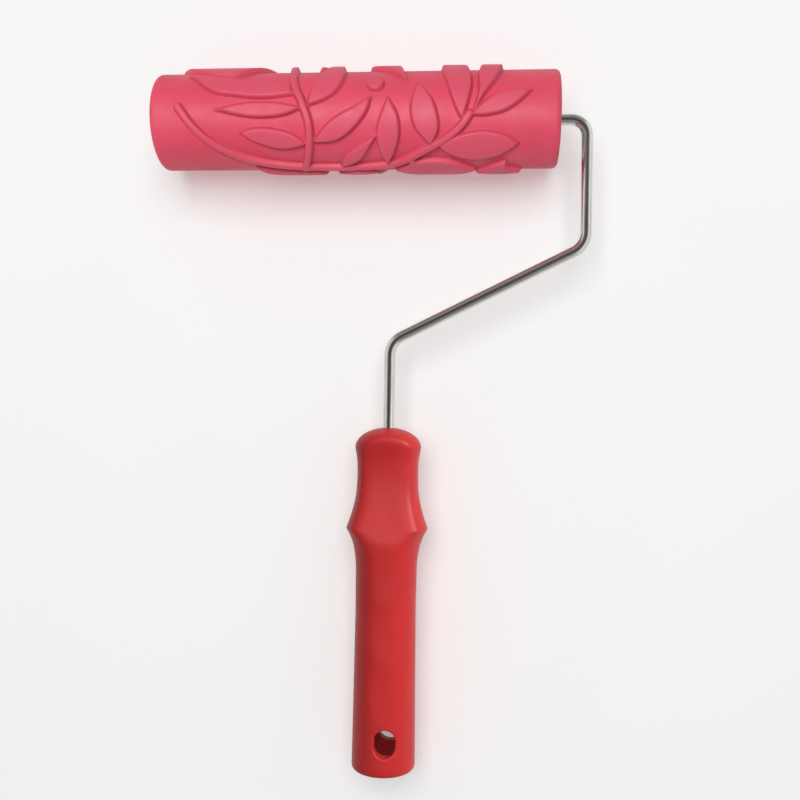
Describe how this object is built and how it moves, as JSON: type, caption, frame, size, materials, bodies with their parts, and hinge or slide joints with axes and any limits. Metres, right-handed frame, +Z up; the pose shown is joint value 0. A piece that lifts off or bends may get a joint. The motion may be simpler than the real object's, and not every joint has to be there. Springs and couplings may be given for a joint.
{
  "type": "textured pattern roller",
  "caption": "Embossed leaf-pattern rubber roller that turns on a cranked wire frame with a moulded handle, for printing wall patterns in wet paint or plaster.",
  "frame": {"origin": "under the middle of the tool's box, at the height of the roller's lowest point, with the tool lying flat", "axes": "+X along the axle towards the bent leg of the frame, +Y from the handle towards the roller, +Z up"},
  "size_m": [0.1086, 0.175, 0.0262],
  "materials": {
    "sleeve_rubber": "satin pink-red moulded rubber",
    "core_plastic": "plain extruded tube",
    "cap_plastic": "moulded, fine matt",
    "bush_nylon": "natural nylon",
    "washer_steel": "zinc plated",
    "plated_wire": "bright plated, drawn wire",
    "handle_plastic": "satin red moulding"
  },
  "bodies": {
    "frame": {"wire_frame": "plated_wire", "handle_grip": "handle_plastic", "stop_collar": "washer_steel", "inner_thrust_washer": "washer_steel", "outer_thrust_washer": "washer_steel", "push_on_retainer": "washer_steel"},
    "roller": {"pattern_sleeve": "sleeve_rubber", "core_tube": "core_plastic", "outer_end_cap": "cap_plastic", "inner_end_cap": "cap_plastic", "outer_bush": "bush_nylon", "inner_bush": "bush_nylon"}
  },
  "joints": [
    {"name": "roller_spin", "type": "hinge", "parent": "frame", "child": "roller", "pos_m": [-0.0043, 0.0744, 0.0131], "axis": [1, 0, 0], "continuous": true}
  ]
}
